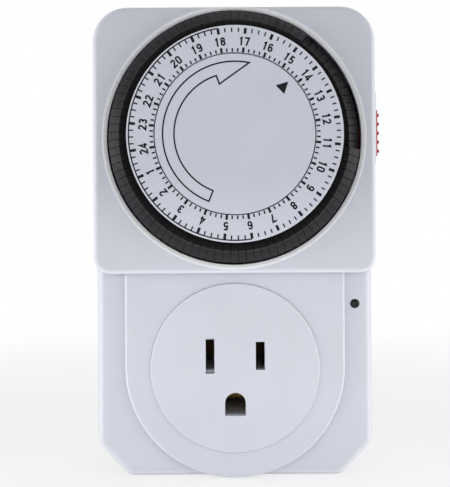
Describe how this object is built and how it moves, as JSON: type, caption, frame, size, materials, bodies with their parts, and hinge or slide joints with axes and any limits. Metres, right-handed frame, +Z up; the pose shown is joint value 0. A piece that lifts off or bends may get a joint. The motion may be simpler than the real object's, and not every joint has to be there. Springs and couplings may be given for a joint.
{
  "type": "plug-in mechanical 24-hour timer",
  "caption": "White plug-in mains timer: rotating 24-hour dial ringed by push-in tappets, red override slide, indicator, grounded socket in front and grounded plug behind.",
  "frame": {"origin": "on the flat rear face, midway between the two plug blades, on the dial's axis", "axes": "+Z up along the height, +Y out of the rear face along the plug blades, +X to the right as seen from the front; the front faces -Y"},
  "size_m": [0.0725, 0.064, 0.1184],
  "materials": {
    "housing_plastic": "fine satin, moulded",
    "dial_plastic": "satin, printed",
    "frame_plastic": "moulded",
    "steel": "zinc plated",
    "brass": "stamped, bright",
    "switch_plastic": "moulded",
    "motor_steel": "plated can",
    "magnet": "sintered",
    "coil_wrap": "taped winding",
    "gear_plastic": "acetal",
    "drum_plastic": "satin",
    "tappet_plastic": "satin",
    "slide_plastic": "satin",
    "lens": "smoked",
    "lamp_glass": "clear"
  },
  "bodies": {
    "housing": {"rear_cover": "housing_plastic", "front_cover": "housing_plastic", "socket_insert": "housing_plastic", "mechanism_frame": "frame_plastic", "centre_disc": "dial_plastic", "hub_screw": "steel", "housing_screws": "steel", "frame_screws": "steel", "hot_blade": "brass", "neutral_blade": "brass", "ground_pin": "brass", "hot_contact": "brass", "neutral_contact": "brass", "ground_contact": "brass", "line_strap": "brass", "load_strap": "brass", "neutral_strap": "brass", "ground_strap": "brass", "switch_case": "switch_plastic", "switch_terminals": "brass", "motor_case": "motor_steel", "motor_coil": "coil_wrap", "gear_axles": "steel", "lever_pin": "steel", "indicator_lens": "lens", "indicator_lamp": "lamp_glass"},
    "dial": {"dial_drum": "drum_plastic", "dial_scale": "dial_plastic"},
    "drive_gear": {"drive_gear": "gear_plastic"},
    "idler_gear": {"idler_gear": "gear_plastic"},
    "motor_pinion": {"motor_pinion": "gear_plastic"},
    "motor_rotor": {"motor_rotor": "magnet"},
    "follower_lever": {"follower_lever": "gear_plastic"},
    "switch_plunger": {"switch_plunger": "switch_plastic"},
    "override_slide": {"override_slide": "slide_plastic"},
    "tappets_hour_01": {"tappets_hour_01": "tappet_plastic"},
    "tappets_hour_02": {"tappets_hour_02": "tappet_plastic"},
    "tappets_hour_03": {"tappets_hour_03": "tappet_plastic"},
    "tappets_hour_04": {"tappets_hour_04": "tappet_plastic"},
    "tappets_hour_05": {"tappets_hour_05": "tappet_plastic"},
    "tappets_hour_06": {"tappets_hour_06": "tappet_plastic"},
    "tappets_hour_07": {"tappets_hour_07": "tappet_plastic"},
    "tappets_hour_08": {"tappets_hour_08": "tappet_plastic"},
    "tappets_hour_09": {"tappets_hour_09": "tappet_plastic"},
    "tappets_hour_10": {"tappets_hour_10": "tappet_plastic"},
    "tappets_hour_11": {"tappets_hour_11": "tappet_plastic"},
    "tappets_hour_12": {"tappets_hour_12": "tappet_plastic"},
    "tappets_hour_13": {"tappets_hour_13": "tappet_plastic"},
    "tappets_hour_14": {"tappets_hour_14": "tappet_plastic"},
    "tappets_hour_15": {"tappets_hour_15": "tappet_plastic"},
    "tappets_hour_16": {"tappets_hour_16": "tappet_plastic"},
    "tappets_hour_17": {"tappets_hour_17": "tappet_plastic"},
    "tappets_hour_18": {"tappets_hour_18": "tappet_plastic"},
    "tappets_hour_19": {"tappets_hour_19": "tappet_plastic"},
    "tappets_hour_20": {"tappets_hour_20": "tappet_plastic"},
    "tappets_hour_21": {"tappets_hour_21": "tappet_plastic"},
    "tappets_hour_22": {"tappets_hour_22": "tappet_plastic"},
    "tappets_hour_23": {"tappets_hour_23": "tappet_plastic"},
    "tappets_hour_24": {"tappets_hour_24": "tappet_plastic"}
  },
  "joints": [
    {"name": "dial_spin", "type": "hinge", "parent": "housing", "child": "dial", "pos_m": [0, 0, 0], "axis": [0, 1, 0], "continuous": true},
    {"name": "drive_gear_spin", "type": "hinge", "parent": "housing", "child": "drive_gear", "pos_m": [-0.02095, 0, -0.02681], "axis": [0, 1, 0], "continuous": true},
    {"name": "idler_gear_spin", "type": "hinge", "parent": "housing", "child": "idler_gear", "pos_m": [-0.01105, 0, -0.02821], "axis": [0, 1, 0], "continuous": true},
    {"name": "motor_pinion_spin", "type": "hinge", "parent": "housing", "child": "motor_pinion", "pos_m": [-0.00198, 0, -0.02398], "axis": [0, 1, 0], "continuous": true},
    {"name": "motor_rotor_spin", "type": "hinge", "parent": "housing", "child": "motor_rotor", "pos_m": [0.00451, 0, -0.02], "axis": [0, 1, 0], "continuous": true},
    {"name": "tappets_hour_01_push", "type": "slide", "parent": "dial", "child": "tappets_hour_01", "axis": [0, -1, 0], "range_m": [-0.0025, 0]},
    {"name": "tappets_hour_02_push", "type": "slide", "parent": "dial", "child": "tappets_hour_02", "axis": [0, -1, 0], "range_m": [-0.0025, 0]},
    {"name": "tappets_hour_03_push", "type": "slide", "parent": "dial", "child": "tappets_hour_03", "axis": [0, -1, 0], "range_m": [-0.0025, 0]},
    {"name": "tappets_hour_04_push", "type": "slide", "parent": "dial", "child": "tappets_hour_04", "axis": [0, -1, 0], "range_m": [-0.0025, 0]},
    {"name": "tappets_hour_05_push", "type": "slide", "parent": "dial", "child": "tappets_hour_05", "axis": [0, -1, 0], "range_m": [-0.0025, 0]},
    {"name": "tappets_hour_06_push", "type": "slide", "parent": "dial", "child": "tappets_hour_06", "axis": [0, -1, 0], "range_m": [-0.0025, 0]},
    {"name": "tappets_hour_07_push", "type": "slide", "parent": "dial", "child": "tappets_hour_07", "axis": [0, -1, 0], "range_m": [-0.0025, 0]},
    {"name": "tappets_hour_08_push", "type": "slide", "parent": "dial", "child": "tappets_hour_08", "axis": [0, -1, 0], "range_m": [-0.0025, 0]},
    {"name": "tappets_hour_09_push", "type": "slide", "parent": "dial", "child": "tappets_hour_09", "axis": [0, -1, 0], "range_m": [-0.0025, 0]},
    {"name": "tappets_hour_10_push", "type": "slide", "parent": "dial", "child": "tappets_hour_10", "axis": [0, -1, 0], "range_m": [-0.0025, 0]},
    {"name": "tappets_hour_11_push", "type": "slide", "parent": "dial", "child": "tappets_hour_11", "axis": [0, -1, 0], "range_m": [0, 0.0025]},
    {"name": "tappets_hour_12_push", "type": "slide", "parent": "dial", "child": "tappets_hour_12", "axis": [0, -1, 0], "range_m": [0, 0.0025]},
    {"name": "tappets_hour_13_push", "type": "slide", "parent": "dial", "child": "tappets_hour_13", "axis": [0, -1, 0], "range_m": [0, 0.0025]},
    {"name": "tappets_hour_14_push", "type": "slide", "parent": "dial", "child": "tappets_hour_14", "axis": [0, -1, 0], "range_m": [0, 0.0025]},
    {"name": "tappets_hour_15_push", "type": "slide", "parent": "dial", "child": "tappets_hour_15", "axis": [0, -1, 0], "range_m": [-0.0025, 0]},
    {"name": "tappets_hour_16_push", "type": "slide", "parent": "dial", "child": "tappets_hour_16", "axis": [0, -1, 0], "range_m": [-0.0025, 0]},
    {"name": "tappets_hour_17_push", "type": "slide", "parent": "dial", "child": "tappets_hour_17", "axis": [0, -1, 0], "range_m": [-0.0025, 0]},
    {"name": "tappets_hour_18_push", "type": "slide", "parent": "dial", "child": "tappets_hour_18", "axis": [0, -1, 0], "range_m": [-0.0025, 0]},
    {"name": "tappets_hour_19_push", "type": "slide", "parent": "dial", "child": "tappets_hour_19", "axis": [0, -1, 0], "range_m": [-0.0025, 0]},
    {"name": "tappets_hour_20_push", "type": "slide", "parent": "dial", "child": "tappets_hour_20", "axis": [0, -1, 0], "range_m": [-0.0025, 0]},
    {"name": "tappets_hour_21_push", "type": "slide", "parent": "dial", "child": "tappets_hour_21", "axis": [0, -1, 0], "range_m": [-0.0025, 0]},
    {"name": "tappets_hour_22_push", "type": "slide", "parent": "dial", "child": "tappets_hour_22", "axis": [0, -1, 0], "range_m": [-0.0025, 0]},
    {"name": "tappets_hour_23_push", "type": "slide", "parent": "dial", "child": "tappets_hour_23", "axis": [0, -1, 0], "range_m": [-0.0025, 0]},
    {"name": "tappets_hour_24_push", "type": "slide", "parent": "dial", "child": "tappets_hour_24", "axis": [0, -1, 0], "range_m": [-0.0025, 0]},
    {"name": "follower_lever_rock", "type": "hinge", "parent": "housing", "child": "follower_lever", "pos_m": [0.02007, -0.02345, -0.00612], "axis": [1, 0, 0], "range_deg": [0, 5.62]},
    {"name": "switch_plunger_travel", "type": "slide", "parent": "housing", "child": "switch_plunger", "axis": [0, -1, 0], "range_m": [0, 0.00132]},
    {"name": "override_slide_travel", "type": "slide", "parent": "housing", "child": "override_slide", "axis": [0, 0, -1], "range_m": [-0.0024, 0]}
  ],
  "couplings": [
    {"joint": "drive_gear_spin", "follows": "dial_spin", "ratio": -9.6},
    {"joint": "idler_gear_spin", "follows": "dial_spin", "ratio": 28.8},
    {"joint": "motor_pinion_spin", "follows": "dial_spin", "ratio": -86.4},
    {"joint": "follower_lever_rock", "follows": "tappets_hour_14_push", "rad_per_m": 39.216},
    {"joint": "switch_plunger_travel", "follows": "tappets_hour_14_push", "ratio": 0.52941}
  ]
}
